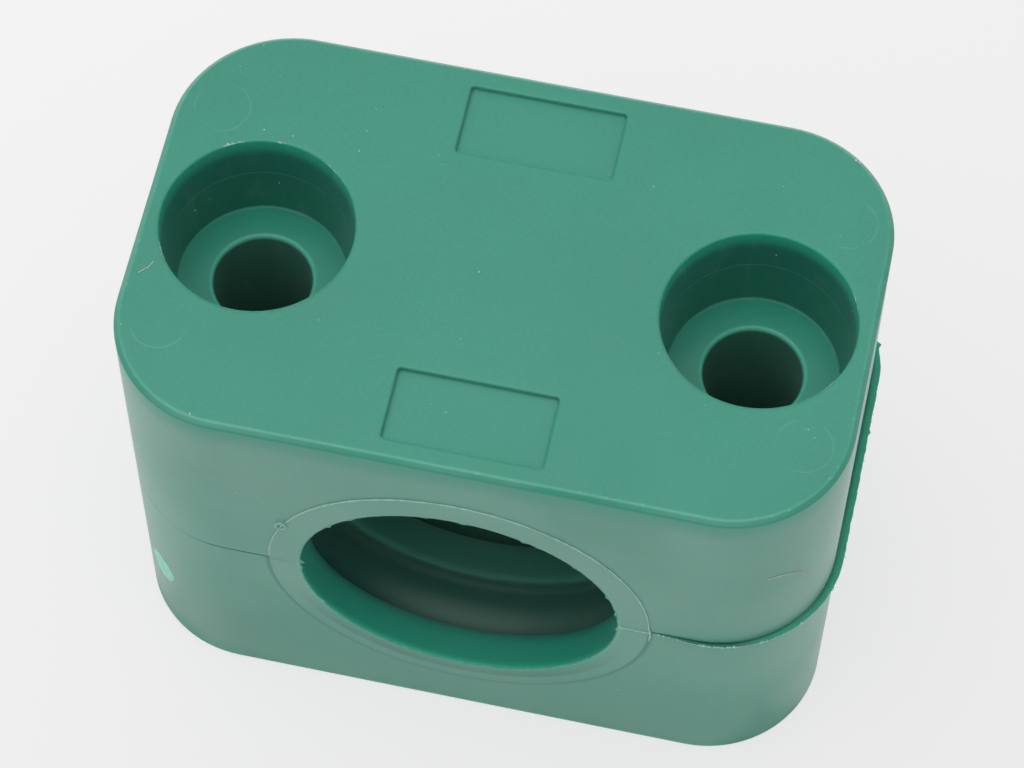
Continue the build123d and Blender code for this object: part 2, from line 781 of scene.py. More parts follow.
@dataclass(frozen=True)
class MouldedPlastic:
    """Polypropylene as it leaves the mould: satin, faintly grained and a little see-through."""

    colour: Colour = (0.021, 0.325, 0.222)
    deep_colour: Colour = (0.013, 0.245, 0.166)
    lit_rim_colour: Colour = (0.030, 0.430, 0.300)
    # painted shade: darker green laid in the wells, the holes and the bore, and low on the walls
    shade_colour: Colour = (0.019, 0.192, 0.134)
    shaded_colour: Colour = (0.052, 0.212, 0.163)
    groove_shade_colour: Colour = (0.030, 0.090, 0.070)
    crevice_shade_colour: Colour = (0.010, 0.130, 0.092)
    # painted light: pale green for the glow through thin rims and the highlights along edges
    glow_colour: Colour = (0.085, 0.560, 0.405)
    # dust, and painted sheen: pale for specks, pins and scuffs, and also for painted haze and
    # reflections
    dust_and_sheen_colour: Colour = (0.62, 0.80, 0.74)
    roughness: float = 0.42
    cored_roughness: float = 0.36
    edge_polish: float = 0.06
    bore_roughness: float = 0.16
    rubbed_scale: float = 0.22
    rubbed_share: float = 0.16
    grain_scale: float = 6.0
    grain_share: float = 0.10
    ior: float = 1.6
    cored_ior: float = 1.42
    sheen_weight: float = 0.26
    cored_sheen_weight: float = 0.035
    scatter_weight: float = 0.70
    scatter_length: float = 1.1 * MM
    scatter_radii: Colour = (0.14, 1.0, 0.66)
    drift: Patches = Patches(0.07, 2.0, 0.25, 0.75)
    mottle: Patches = Patches(4.5, 2.0, 0.2, 0.8)
    painted_haze: Patches = Patches(0.11, 3.0, 0.35, 0.70)
    low_shade_fade: Span = (-13.0, 9.0)
    rim_glow_line: float = 0.32
    lower_rim: Span = (0.0, 2.0)
    seam_line: float = 0.10
    seam_highlight_end: Span = (-18.0, 2.5)
    broken_edge: Span = (0.02, 0.12)

    def make(self, name: str, sizes: ClampSizes) -> bpy.types.Material:
        """Makes the material.

        Args:
            name: the material's name.
            sizes: the clamp's sizes, which place the marks of the mould.

        Returns:
            The material.
        """
        material = bpy.data.materials.new(name)
        board = Board(material)
        place = Place(board, sizes)
        marks = Marks(place)
        normal = Relief().normal(place, marks)
        roughness = self._uneven(place, self.roughness) - marks.edge * self.edge_polish
        cored_roughness = self._uneven(place, self.cored_roughness)
        cored_roughness = cored_roughness + place.in_bore * self.bore_roughness
        skin = {
            "Base Color": self._skin_colour(place, marks),
            "Roughness": roughness,
            "IOR": self.ior,
            "Sheen Weight": self.sheen_weight,
        }
        core = {
            "Base Color": self._cored_colour(place, marks, Insides(place)),
            "Roughness": cored_roughness,
            "IOR": self.cored_ior,
            "Sheen Weight": self.cored_sheen_weight,
        }
        coats = [
            board.add(
                "BsdfPrincipled",
                {"subsurface_method": "RANDOM_WALK"},
                {
                    **inputs,
                    "Subsurface Weight": self.scatter_weight,
                    "Subsurface Radius": self.scatter_radii,
                    "Subsurface Scale": self.scatter_length,
                    "Normal": normal,
                },
            )
            for inputs in (skin, core)
        ]
        share = board.largest(place.cored, marks.hazeless)
        board.finish(board.add("MixShader", None, {0: share, 1: coats[0], 2: coats[1]}))
        return material

    def _uneven(self, place: Place, roughness: float) -> Wire:
        """A roughness with patches that are rubbed smoother, and a fine grain.

        Args:
            place: where the point is.
            roughness: its mean.

        Returns:
            The roughness.
        """
        rubbed = place.board.noise(place.point, self.rubbed_scale, 3.0) - 0.5
        fine = place.board.noise(place.point, self.grain_scale, 1.0) - 0.5
        return roughness + rubbed * self.rubbed_share + fine * self.grain_share

    def _skin_colour(self, place: Place, marks: Marks) -> Wire:
        """The pigment outside, a little uneven, with paler marks and painted haze, highlights and
        shade.

        Args:
            place: where the point is.
            marks: what the mould and the dust left.

        Returns:
            The colour.
        """
        board, sizes, show = place.board, place.sizes, SkinShares()
        drift, mottle = place.patches(self.drift), place.patches(self.mottle)
        # painted sheen: soft greyer patches of haze on the walls
        painted_haze = place.patches(self.painted_haze) * place.walls
        # painted shade: the walls darken towards the bottom of the lower half
        low = place.below(place.z, *self.low_shade_fade) * place.walls
        on_ring = place.below(place.from_axis, sizes.ring_radius) * place.end_face
        # painted light: a paler glow round the bore's rim, stronger on the lower half
        rim = board.line(place.from_axis - sizes.bore_radius, self.rim_glow_line)
        lower_rim = show.extra_lower_rim_glow * place.below(place.z, *self.lower_rim)
        # painted highlight: a pale line along the seam towards the left end
        seam = board.line(place.z, self.seam_line) * place.below(place.x, *self.seam_highlight_end)
        # painted sheen: a faint pale tint over the broken outer edge
        edge = place.about(place.height, sizes.edge_level, self.broken_edge) * place.walls
        pale = marks.pins * show.pins + marks.edge * show.edge_paling + seam * show.seam
        return board.layers(
            self.colour,
            (drift * show.drift + mottle * show.mottle, self.deep_colour),
            (painted_haze * show.painted_haze, self.dust_and_sheen_colour),
            (low * show.low, self.shade_colour),
            (on_ring * show.ring, self.dust_and_sheen_colour),
            (rim * (show.upper_rim_glow + lower_rim), self.glow_colour),
            (edge * show.broken_edge, self.dust_and_sheen_colour),
            # painted highlight along the outer edge
            (marks.edge * show.edge_line, self.glow_colour),
            (pale, self.dust_and_sheen_colour),
            (marks.specks * show.specks, self.dust_and_sheen_colour),
        )

    def _cored_colour(self, place: Place, marks: Marks, insides: Insides) -> Wire:
        """The pigment inside, with painted shade and reflections, painted light through the rims,
        and dust.

        Args:
            place: where the point is.
            marks: what the mould and the dust left.
            insides: the places inside.

        Returns:
            The colour.
        """
        show = CoreShares()
        # painted reflection: a pale haze in the first groove and on the hole walls
        haze = insides.grey_reflection * show.grey_reflection + insides.hole * show.hole_glare
        # painted light: the lands near the mouths are lit, with a paler glow at the lip
        mouth = insides.near_mouth(insides.mouth_rise)
        lip = insides.near_mouth(insides.lip_rise)
        pale = insides.hole_rim * show.hole_rim_paling + marks.witness * show.witness
        pale = pale + marks.specks * show.specks + insides.scuffs * show.scuffs
        pale = pale + insides.well_floor * show.floor_dust
        return place.board.layers(
            self.shade_colour,
            (place.walls, self.colour),
            (insides.far_bore * show.far_bore, self.shaded_colour),
            (insides.groove * show.groove, self.groove_shade_colour),
            (haze, self.dust_and_sheen_colour),
            (insides.well_rim * show.lit_rim, self.lit_rim_colour),
            (insides.well_rim * show.well_rim_glow, self.glow_colour),
            # the well floors keep the full green, out of the painted shade of the walls
            (insides.well_floor * show.well_floor, self.colour),
            (mouth * show.mouth, self.lit_rim_colour),
            (lip * show.lip, self.glow_colour),
            (marks.under_edge * show.under_edge, self.dust_and_sheen_colour),
            (marks.crevice, self.crevice_shade_colour),
            (insides.hole_rim * show.hole_rim, self.glow_colour),
            (pale, self.dust_and_sheen_colour),
        )


@dataclass(frozen=True)
class ThinPlastic:
    """The same plastic where it is torn or drawn thin, and paler for it."""

    colour: Colour = (0.10, 0.52, 0.38)
    dull_share: float = 0.6
    streaks: Patches = Patches(3.0 / MM, 3.0, 0.3, 0.7)
    roughness: float = 0.5
    unevenness: float = 0.2
    grain_scale: float = 12.0 / MM
    grain_height: float = 0.01 * MM
    grain_strength: float = 0.4
    ior: float = 1.5
    scatter_weight: float = 0.3
    scatter_length: float = 0.3 * MM

    def make(self, name: str) -> bpy.types.Material:
        """Makes the material.

        Args:
            name: the material's name.

        Returns:
            The material.
        """
        material = bpy.data.materials.new(name)
        board = Board(material)
        local = board.add("TexCoord", output="Object")
        dull = tuple(self.dull_share * level for level in self.colour)
        fine = board.noise(local, self.grain_scale, 1.0)
        bump = {"Strength": self.grain_strength, "Distance": self.grain_height, "Height": fine}
        shader = board.add(
            "BsdfPrincipled",
            {"subsurface_method": "RANDOM_WALK"},
            {
                "Base Color": board.blend(board.patches(local, self.streaks), self.colour, dull),
                "Roughness": self.roughness + (fine - 0.5) * self.unevenness,
                "IOR": self.ior,
                "Subsurface Weight": self.scatter_weight,
                "Subsurface Radius": self.colour,
                "Subsurface Scale": self.scatter_length,
                "Normal": board.add("Bump", None, bump),
            },
        )
        board.finish(shader)
        return material


class Outline:
    """The rounded outline of the body from above, followed from the middle of its right side."""

    def __init__(self, sizes: ClampSizes) -> None:
        """Works out the lengths of its stretches.

        Args:
            sizes: the clamp's sizes.
        """
        self.sizes = sizes
        self.straight = sizes.half_width - sizes.corner_radius
        self.turn = sizes.corner_radius * math.pi / 2

    def at(self, travel: float) -> Tuple[Vector, Vector]:
        """Finds a place on the outline, at the level of the seam.

        Args:
            travel: how far along it is, toward the front, or the back where negative.

        Returns:
            The place, and the direction out of the body there.
        """
        sizes = self.sizes
        way = -1.0 if travel > 0.0 else 1.0
        along = abs(travel)
        radius = sizes.corner_radius
        centre = Vector((sizes.half_length - radius, way * self.straight, 0.0))
        if along <= self.straight:
            return Vector((sizes.half_length, way * along, 0.0)), Vector((1.0, 0.0, 0.0))
        if along <= self.straight + self.turn:
            angle = (along - self.straight) / radius
            out = Vector((math.cos(angle), way * math.sin(angle), 0.0))
            return centre + out * radius, out
        past = along - self.straight - self.turn
        return Vector((centre.x - past, way * sizes.half_width, 0.0)), Vector((0.0, way, 0.0))


def ragged(place: float, seed: float, roughness: float = 1.0) -> float:
    """An uneven number along an edge.

    Args:
        place: how far along the edge it is.
        seed: which edge it is.
        roughness: how many swells there are to a unit of place.

    Returns:
        A number between about -1 and 1.
    """
    return noise.fractal(Vector((place * roughness, seed, 0.5)), 0.9, 2.0, 4)


def between(stops: Sequence[Span], place: float) -> float:
    """Reads a value from stops that are joined by straight lines.

    Args:
        stops: places in rising order, each with its value.
        place: where the value is wanted.

    Returns:
        The value, held past the first and last stops.
    """
    for (start, first), (end, second) in zip(stops, stops[1:]):
        if place <= end:
            share = max(0.0, (place - start) / (end - start))
            return first + (second - first) * share
    return stops[-1][1]


def bumps(place: float, each: Sequence[Tuple[float, float, float]]) -> float:
    """Reads the height of a row of rounded bumps.

    Args:
        place: where it is wanted.
        each: the middle, the height and the width of each bump.

    Returns:
        The height.
    """
    return sum(height * math.exp(-(((place - at) / width) ** 2)) for at, height, width in each)


def spread(first: float, last: float, count: int) -> List[float]:
    """Numbers spread evenly from first to last, with count gaps between them."""
    return [first + (last - first) * index / count for index in range(count + 1)]


def seen_from_above(centre: Vector, radius: float, turn: float) -> Vector:
    """The point at a radius and a turn from a centre, at its level."""
    return centre + Vector((math.cos(turn), math.sin(turn), 0.0)) * radius


def tube(path: Sequence[Vector], widths: Sequence[float], sides: int = 6) -> List[List[Vector]]:
    """Sets rows of points round a path.

    Args:
        path: the points that it follows.
        widths: its radius at each point.
        sides: how many points there are to a row.

    Returns:
        The rows.
    """
    rows = []
    side = (path[1] - path[0]).orthogonal()
    turns = [2.0 * math.pi * step / sides for step in range(sides)]
    for index, (centre, width) in enumerate(zip(path, widths)):
        ahead = (path[min(index + 1, len(path) - 1)] - path[max(index - 1, 0)]).normalized()
        side = (side - ahead * side.dot(ahead)).normalized()
        across = ahead.cross(side)
        row = [side * math.cos(turn) + across * math.sin(turn) for turn in turns]
        rows.append([centre + out * width for out in row])
    return rows


def add_object(name: str, data: bpy.types.ID) -> bpy.types.Object:
    """Adds an object to the scene.

    Args:
        name: its name.
        data: its mesh, lamp or camera.

    Returns:
        The object.
    """
    made = bpy.data.objects.new(name, data)
    bpy.context.scene.collection.objects.link(made)
    return made


@dataclass
class Piece:
    """A small piece of the clamp's look, grown from rows of points."""

    sizes: ClampSizes
    form: bmesh.types.BMesh = field(default_factory=bmesh.new, init=False, repr=False)
    name: ClassVar[str] = "piece"
    slotted: ClassVar[bool] = True

    def shape(self) -> None:
        """Adds the piece's faces to its form."""
        raise NotImplementedError

    def build(self, material: bpy.types.Material) -> None:
        """Shapes the piece and makes its object, which moves with the clamp.

        Args:
            material: its material.
        """
        self.shape()
        bmesh.ops.recalc_face_normals(self.form, faces=self.form.faces)
        for face in self.form.faces:
            face.smooth = True
        mesh = bpy.data.meshes.new(self.name)
        self.form.to_mesh(mesh)
        self.form.free()
        mesh.materials.append(material)
        piece = add_object(self.name, mesh)
        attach(piece, BODY)
        log.info("%s: %d faces", self.name, len(mesh.polygons))

    def loft(self, rows: Sequence[Sequence[Vector]]) -> None:
        """Skins closed rows of points and caps both ends.

        Args:
            rows: the rows, each with as many points as the others.
        """
        grid = [[self.form.verts.new(point) for point in row] for row in rows]
        for first, second in zip(grid, grid[1:]):
            for index in range(len(first)):
                after = (index + 1) % len(first)
                self.form.faces.new((first[index], first[after], second[after], second[index]))
        self.form.faces.new(grid[0][::-1])
        self.form.faces.new(grid[-1])

    def crumb(self, centre: Vector, radius: float, draw: random.Random) -> None:
        """Adds a small uneven lump.

        Args:
            centre: its middle.
            radius: its rough radius.
            draw: where its unevenness comes from.
        """
        made = bmesh.ops.create_icosphere(self.form, subdivisions=2, radius=1.0)
        stretch = Vector([draw.uniform(0.6, 1.3) for _ in range(3)]) * radius
        seed = draw.uniform(0.0, 50.0)
        for vert in made["verts"]:
            bulge = 1.0 + 0.35 * noise.noise(vert.co * 1.6 + Vector((seed, seed, seed)))
            vert.co = centre + vert.co * stretch * bulge


@dataclass
class SeamFlash(Piece):
    """The fin that stands out of the lower half's seam edge round the right end.

    It stands for the strip of seam face that shows where the lower half lies shifted, as the
    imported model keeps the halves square. Travel along the outline, widths and nibs are in
    millimetres.
    """

    name: ClassVar[str] = "seam_flash"
    step: float = 0.10
    sunk: float = 0.15 * MM
    drop: float = 0.015 * MM
    lip: float = 0.05 * MM
    taper: float = 3.4
    swell: float = 0.07
    fray: float = 0.03
    widths: Tuple[Span, ...] = (
        (-17.0, 0.0), (-12.5, 0.42), (-8.0, 0.60), (6.9, 0.58), (10.5, 0.50),
        (13.2, 0.40), (19.5, 0.22), (21.4, 0.09), (22.4, -0.02),
    )
    nibs: Tuple[Tuple[float, float, float], ...] = (
        (-9.6, 0.22, 0.16), (-2.9, 0.14, 0.16),
        (9.1, 0.10, 0.16), (14.6, 0.05, 0.16),
    )

    def shape(self) -> None:
        """Adds the fin."""
        outline = Outline(self.sizes)
        start, end = self.widths[0][0], self.widths[-1][0]
        rows = []
        for travel in spread(start, end, round((end - start) / self.step)):
            uneven = self.swell * ragged(travel, 3.0) + self.fray * ragged(travel, 7.0, 2.5)
            width = between(self.widths, travel) * (1.0 + uneven) + bumps(travel, self.nibs)
            rows.append(self._row(*outline.at(travel * MM), width * MM))
        self.loft(rows)

    def _row(self, spot: Vector, out: Vector, width: float) -> List[Vector]:
        """One section of the fin.

        Args:
            spot: the place on the body's outline.
            out: the direction out of the body.
            width: how far the fin stands out.

        Returns:
            The section's points, round from the top.
        """
        depth = self.drop + self.lip + self.taper * width
        section = (
            (-self.sunk, self.drop),
            (width - 0.4 * self.lip, self.drop),
            (width, self.drop + self.lip),
            (0.52 * width, 0.35 * depth),
            (0.16 * width, 0.72 * depth),
            (-self.sunk, depth),
        )
        return [spot + out * reach - Vector((0.0, 0.0, below)) for reach, below in section]


@dataclass
class SeamCrumbs(SeamFlash):
    """The pale crumbs that hang on the fin's edge."""

    name: ClassVar[str] = "seam_crumbs"
    seed: int = 17
    least_reach: float = 0.09
    hang: Span = (0.2, 1.6)
    radii: Span = (0.045, 0.090)
    stretches: Tuple[Tuple[float, float, int], ...] = (
        (-6.0, 9.0, 7), (9.0, 15.0, 9), (15.0, 22.4, 26),
    )

    def shape(self) -> None:
        """Adds the crumbs."""
        outline = Outline(self.sizes)
        draw = random.Random(self.seed)
        for first, last, count in self.stretches:
            for _ in range(count):
                travel = draw.uniform(first, last)
                spot, out = outline.at(travel * MM)
                spot += out * max(self.least_reach, between(self.widths, travel)) * MM
                spot.z -= self.drop + draw.uniform(*self.hang) * self.lip
                self.crumb(spot, draw.uniform(*self.radii) * MM, draw)


@dataclass
class InsertFlash(Piece):
    """Thin whitish flash that the bore insert leaves on the upper half's ring and at the seam."""

    name: ClassVar[str] = "insert_flash"
    beads: Tuple[Tuple[float, float, float, float], ...] = (
        (-1.0, 1.5, 178.5, 0.055 * MM),
        (1.0, 8.0, 171.0, 0.0385 * MM),
    )
    step: float = 1.5
    curl_angle: float = 156.0
    curl_radius: float = 0.40 * MM
    curl_width: float = 0.050 * MM
    upright_width: float = 0.080 * MM

    def shape(self) -> None:
        """Adds the beads, the curl and the two tags."""
        for bead in self.beads:
            self._bead(*bead)
        self._curl()
        self._tag_across()
        self._tag_upright()

    def _spot(self, way: float, angle: float, radius: float) -> Vector:
        """A place on the face of the ring.

        Args:
            way: -1 on the front and 1 on the back.
            angle: how far round it is from the right, in degrees.
            radius: its distance from the tube axis.

        Returns:
            The place.
        """
        turn = math.radians(angle)
        depth = way * (self.sizes.half_width + 0.6 * self.sizes.ring_proud)
        return Vector((radius * math.cos(turn), depth, radius * math.sin(turn)))

    def _bead(self, way: float, first: float, last: float, thickness: float) -> None:
        """Adds the bead in the corner of the ring.

        Args:
            way: -1 on the front and 1 on the back.
            first: where it starts, in degrees.
            last: where it ends.
            thickness: its rough radius.
        """
        path, widths = [], []
        for angle in spread(first, last, round((last - first) / self.step)):
            lift = 0.02 * MM * ragged(angle, 11.0 + way, 0.5)
            path.append(self._spot(way, angle, self.sizes.ring_radius + lift))
            swell = 1.0 + 0.45 * ragged(angle, 5.0 + way, 0.35)
            widths.append(thickness * max(0.45, swell))
        self.loft(tube(path, widths))

    def _curl(self) -> None:
        """Adds the small curl of flash at the upper left of the ring."""
        radius = self.sizes.ring_radius + 0.25 * self.curl_radius
        centre = self._spot(-1.0, self.curl_angle, radius)
        path, widths = [], []
        for index, share in enumerate(spread(0.0, 1.0, 24)):
            turn = math.radians(-60.0 + 400.0 * share)
            reach = self.curl_radius * (1.0 - 0.35 * share)
            away = MM * (0.03 + 0.14 * math.sin(math.pi * share))
            out = Vector((reach * math.cos(turn), -away, 1.5 * reach * math.sin(turn)))
            path.append(centre + out)
            widths.append(self.curl_width * (1.0 + 0.4 * ragged(index, 21.0, 0.8)))
        self.loft(tube(path, widths))

    def _tag_across(self) -> None:
        """Adds the ragged tag across the ring at the right end of the seam."""
        sizes = self.sizes
        path, widths = [], []
        for index, share in enumerate(spread(0.0, 1.0, 20)):
            reach = sizes.bore_radius + share * (sizes.ring_width + 0.15 * MM)
            level = 0.05 * MM * ragged(share * 2.0, 31.0, 2.0) - 0.10 * MM * share
            path.append(Vector((reach, -sizes.ring_face, level)))
            widths.append(MM * (0.034 + 0.09 * abs(ragged(index, 33.0, 0.45))))
        self.loft(tube(path, widths))

    def _tag_upright(self) -> None:
        """Adds the tag that crosses the seam at the ring's outer edge."""
        sizes, count = self.sizes, 24
        path, widths = [], []
        for index, share in enumerate(spread(0.0, 1.0, count)):
            reach = sizes.ring_radius + 0.10 * MM * math.sin(3.0 * share)
            path.append(Vector((reach, -sizes.ring_face - 0.02 * MM, MM * (0.75 - 2.1 * share))))
            fade = math.sin(math.pi * (index + 2) / (count + 4))
            widths.append(self.upright_width * (1.0 + 0.7 * ragged(index, 37.0, 0.5)) * fade)
        self.loft(tube(path, widths))


@dataclass
class BoreBurr(Piece):
    """The ragged burr round the mouths of the bore.

    Teeth are given by their angle, their length in millimetres and their width in degrees.
    """

    name: ClassVar[str] = "bore_burr"
    step: float = 0.6
    arcs: Tuple[Span, ...] = ((0.7, 179.3), (180.7, 359.3))
    reach: float = 0.020 * MM
    swell: float = 0.055 * MM
    thickness: float = 0.05 * MM
    overlap: float = 0.06 * MM
    proud: float = 0.008 * MM
    back_share: float = 0.35
    teeth: Tuple[Tuple[float, float, float], ...] = (
        (143.0, 0.16, 1.0), (131.0, 0.10, 1.6), (101.0, 0.12, 0.8), (88.0, 0.14, 2.2),
        (66.0, 0.20, 1.2), (60.5, 0.12, 0.9), (44.0, 0.12, 1.0), (22.0, 0.16, 1.0),
        (9.0, 0.16, 1.2), (178.5, 0.34, 1.2), (183.0, 0.14, 1.6), (209.0, 0.24, 0.9),
        (272.0, 0.06, 1.5), (331.0, 0.05, 2.0), (357.5, 0.14, 1.0),
    )

    def shape(self) -> None:
        """Adds the burr of each half on the front and the back."""
        for way in (-1.0, 1.0):
            for first, last in self.arcs:
                angles = spread(first, last, round((last - first) / self.step))
                self.loft([self._row(way, angle) for angle in angles])

    def _row(self, way: float, angle: float) -> List[Vector]:
        """One section of the burr.

        Args:
            way: -1 on the front and 1 on the back.
            angle: how far round it is, in degrees.

        Returns:
            The section's points.
        """
        inward = self.reach + self.swell * max(0.0, ragged(angle, 41.0 + way, 0.4))
        inward += bumps(angle, self.teeth) * MM * (1.0 if way < 0.0 else self.back_share)
        turn = math.radians(angle)
        section = ((-self.overlap, 0.0), (inward, 0.4), (0.8 * inward, 1.2), (-self.overlap, 2.0))
        row = []
        for reach, sunk in section:
            radius = self.sizes.bore_radius - reach
            depth = self.sizes.ring_face + self.proud - sunk * self.thickness
            row.append(Vector((radius * math.cos(turn), way * depth, radius * math.sin(turn))))
        return row


@dataclass
class WellBurrs(Piece):
    """Crumbs and short burrs on the rims of the two wells of the upper half.

    Arcs are given by their well, their start and end in degrees and their width in millimetres.
    """

    name: ClassVar[str] = "well_burrs"
    seed: int = 5
    crumb_spacing: float = 2.2
    crumb_shares: Span = (0.35, 0.85)
    crumb_places: Span = (-0.02, 0.12)
    waver: float = 0.03 * MM
    count: int = 26
    arcs: Tuple[Tuple[float, float, float, float], ...] = (
        (-1.0, 111.0, 127.0, 0.085), (-1.0, 86.0, 92.5, 0.075),
        (-1.0, 40.0, 62.0, 0.030), (-1.0, 203.0, 216.0, 0.035),
        (1.0, 18.0, 31.0, 0.030), (1.0, 318.0, 330.0, 0.028),
    )

    def shape(self) -> None:
        """Adds the crumbs and the burr of each arc."""
        sizes = self.sizes
        draw = random.Random(self.seed)
        for number, (side, first, last, width) in enumerate(self.arcs):
            well = Vector((side * sizes.bolt_offset, 0.0, sizes.half_height))
            for _ in range(round((last - first) / self.crumb_spacing)):
                turn = math.radians(draw.uniform(first, last))
                reach = sizes.well_mouth_radius + draw.uniform(*self.crumb_places) * MM
                spot = seen_from_above(well, reach, turn)
                self.crumb(spot, width * MM * draw.uniform(*self.crumb_shares), draw)
            path, widths = [], []
            for index, angle in enumerate(spread(first, last, self.count)):
                waver = self.waver * ragged(index, 51.0 + number, 0.4)
                turn = math.radians(angle)
                path.append(seen_from_above(well, sizes.well_mouth_radius + waver, turn))
                fade = math.sin(math.pi * (index + 1) / (self.count + 2))
                swell = max(0.15, 0.55 + 0.9 * ragged(index, 61.0 + number, 0.35))
                widths.append(width * MM * swell * fade)
            self.loft(tube(path, widths))


@dataclass
class GateMark(Piece):
    """The pale torn patch on one corner of each half, where its runner was broken off."""

    name: ClassVar[str] = "gate_marks"
    half_width: float = 1.40 * MM
    half_height: float = 1.62 * MM
    height: float = 0.10 * MM
    sunk: float = 0.06 * MM
    torn: float = 0.03 * MM
    grain: float = 0.3 * MM
    past_middle: float = 0.9 * MM
    round_corner: float = math.radians(46.0)
    rings: int = 6
    sides: int = 28

    def shape(self) -> None:
        """Adds the patch of each half, the lower one's in front and the upper one's behind."""
        for half, way in ((Half.LOWER, -1.0), (Half.UPPER, 1.0)):
            level = half.value * (self.sizes.half_height / 2 + self.past_middle)
            self.loft([self._ring(way, level, ring) for ring in range(self.rings + 1)])

    def _ring(self, way: float, level: float, ring: int) -> List[Vector]:
        """One ring of a patch.

        Args:
            way: -1 on the front corner and 1 on the back one.
            level: the height of the patch's middle.
            ring: its number, from 0 at the patch's edge.

        Returns:
            The ring's points.
        """
        radius = self.sizes.corner_radius
        centre_y = way * (self.sizes.half_width - radius)
        share = 1.0 - ring / (self.rings + 0.4)
        lift = self.height * (1.0 - share**4) * (1.0 + 0.5 * ragged(ring, 71.0, 0.9))
        lift -= self.sunk if ring == 0 else 0.0
        row = []
        for side in range(self.sides):
            turn = 2.0 * math.pi * side / self.sides
            around = Vector((2.0 * math.cos(turn), 2.0 * math.sin(turn), 4.0))
            reach = share * (1.0 + 0.22 * noise.noise(around))
            across = self.half_width * reach * math.cos(turn)
            rise = self.half_height * reach * math.sin(turn)
            torn = self.torn * noise.noise(Vector((across, rise, 0.0)) / self.grain)
            centre = Vector((radius - self.sizes.half_length, centre_y, level + rise))
            angle = math.pi - way * self.round_corner + across / radius
            row.append(seen_from_above(centre, radius + lift + torn, angle))
        return row


@dataclass
class Lint(Piece):
    """Two short fibres: one round the front right corner and one on the outer face.

    The first is given by angles in degrees and levels, the second by places from above, and
    lengths are in millimetres.
    """

    name: ClassVar[str] = "lint"
    slotted: ClassVar[bool] = False
    thickness: float = 0.030 * MM
    sides: int = 5
    pieces: int = 6
    round_corner: Tuple[Span, ...] = (
        (-59.0, 8.9), (-53.0, 8.8), (-47.0, 8.4),
        (-41.0, 7.6), (-36.0, 6.2), (-33.0, 5.1),
    )
    on_top: Tuple[Span, ...] = (
        (-23.1, -5.1), (-22.9, -4.9), (-22.6, -4.6),
        (-22.45, -4.35), (-22.35, -4.1),
    )

    def shape(self) -> None:
        """Adds the fibres."""
        sizes = self.sizes
        radius = sizes.corner_radius
        x, y = sizes.half_length - radius, radius - sizes.half_width
        corner = []
        for angle, level in self.round_corner:
            centre = Vector((x, y, level * MM))
            corner.append(seen_from_above(centre, radius + self.thickness, math.radians(angle)))
        top = sizes.half_height + self.thickness
        flat = [Vector((x * MM, y * MM, top)) for x, y in self.on_top]
        for route in (corner, flat):
            path = self._smooth(route)
            self.loft(tube(path, [self.thickness] * len(path), self.sides))

    def _smooth(self, route: Sequence[Vector]) -> List[Vector]:
        """Rounds a route with a Catmull-Rom line.

        Args:
            route: the points that it goes through.

        Returns:
            The points of the line.
        """
        ends = [route[0] * 2.0 - route[1], *route, route[-1] * 2.0 - route[-2]]
        line = []
        for before, first, second, after in zip(ends, ends[1:], ends[2:], ends[3:]):
            slope = second - before
            curve = before * 2.0 - first * 5.0 + second * 4.0 - after
            twist = first * 3.0 - before - second * 3.0 + after
            for index in range(self.pieces):
                t = index / self.pieces
                line.append(0.5 * (first * 2.0 + slope * t + curve * t**2 + twist * t**3))
        return [*line, route[-1]]


@dataclass
class Dust(Piece):
    """Dust and crumbs of plastic on the outer face and in the wells.

    Grains on the face are given by their place from above, those in the wells by their well,
    their angle and their level, and the last number is their size. Lengths are in millimetres.
    """

    name: ClassVar[str] = "dust"
    slotted: ClassVar[bool] = False
    radius: float = 0.050 * MM
    seed: int = 8
    scattered: int = 26
    scatter_x: float = 22.0
    scatter_y: float = 12.5
    scatter_sizes: Span = (0.3, 0.6)
    off_wells: float = 0.3 * MM
    on_face: Tuple[Tuple[float, float, float], ...] = (
        (-11.35, 6.87, 1.1), (-10.94, -6.0, 0.9), (-11.2, 8.48, 0.9), (-11.0, 10.26, 0.7),
        (21.45, -7.6, 1.2), (20.8, -7.1, 0.6), (-23.2, -9.0, 1.0), (-19.4, 13.5, 0.9),
        (-15.84, 7.07, 0.9), (20.5, 13.1, 1.5), (20.75, 12.95, 1.1), (20.3, 13.3, 0.9),
        (-17.3, -14.3, 1.6),
    )
    in_wells: Tuple[Tuple[float, float, float, float], ...] = (
        (-1.0, 151.0, 12.8, 1.1), (-1.0, 139.0, 12.8, 0.8), (-1.0, 92.0, 13.1, 0.9),
        (-1.0, 170.0, 15.4, 0.9), (1.0, 89.0, 15.4, 1.0), (1.0, 162.0, 13.7, 0.8),
        (1.0, 25.0, 16.2, 0.9), (1.0, 31.0, 16.6, 0.7),
    )

    def shape(self) -> None:
        """Adds the dust."""
        sizes = self.sizes
        top = sizes.half_height
        draw = random.Random(self.seed)
        for x, y, size in self.on_face:
            self.crumb(Vector((x * MM, y * MM, top)), self.radius * size, draw)
        for side, angle, level, size in self.in_wells:
            share = (top - level * MM) / sizes.well_depth
            taper = sizes.well_floor_radius - sizes.well_mouth_radius
            reach = sizes.well_mouth_radius + taper * share
            middle = Vector((side * sizes.bolt_offset, 0.0, level * MM))
            spot = seen_from_above(middle, reach, math.radians(angle))
            self.crumb(spot, self.radius * size, draw)
        for _ in range(self.scattered):
            x = draw.uniform(-self.scatter_x, self.scatter_x) * MM
            y = draw.uniform(-self.scatter_y, self.scatter_y) * MM
            size = draw.uniform(*self.scatter_sizes)
            from_well = math.hypot(abs(x) - sizes.bolt_offset, y)
            if from_well > sizes.well_mouth_radius + self.off_wells:
                self.crumb(Vector((x, y, top)), self.radius * size, draw)


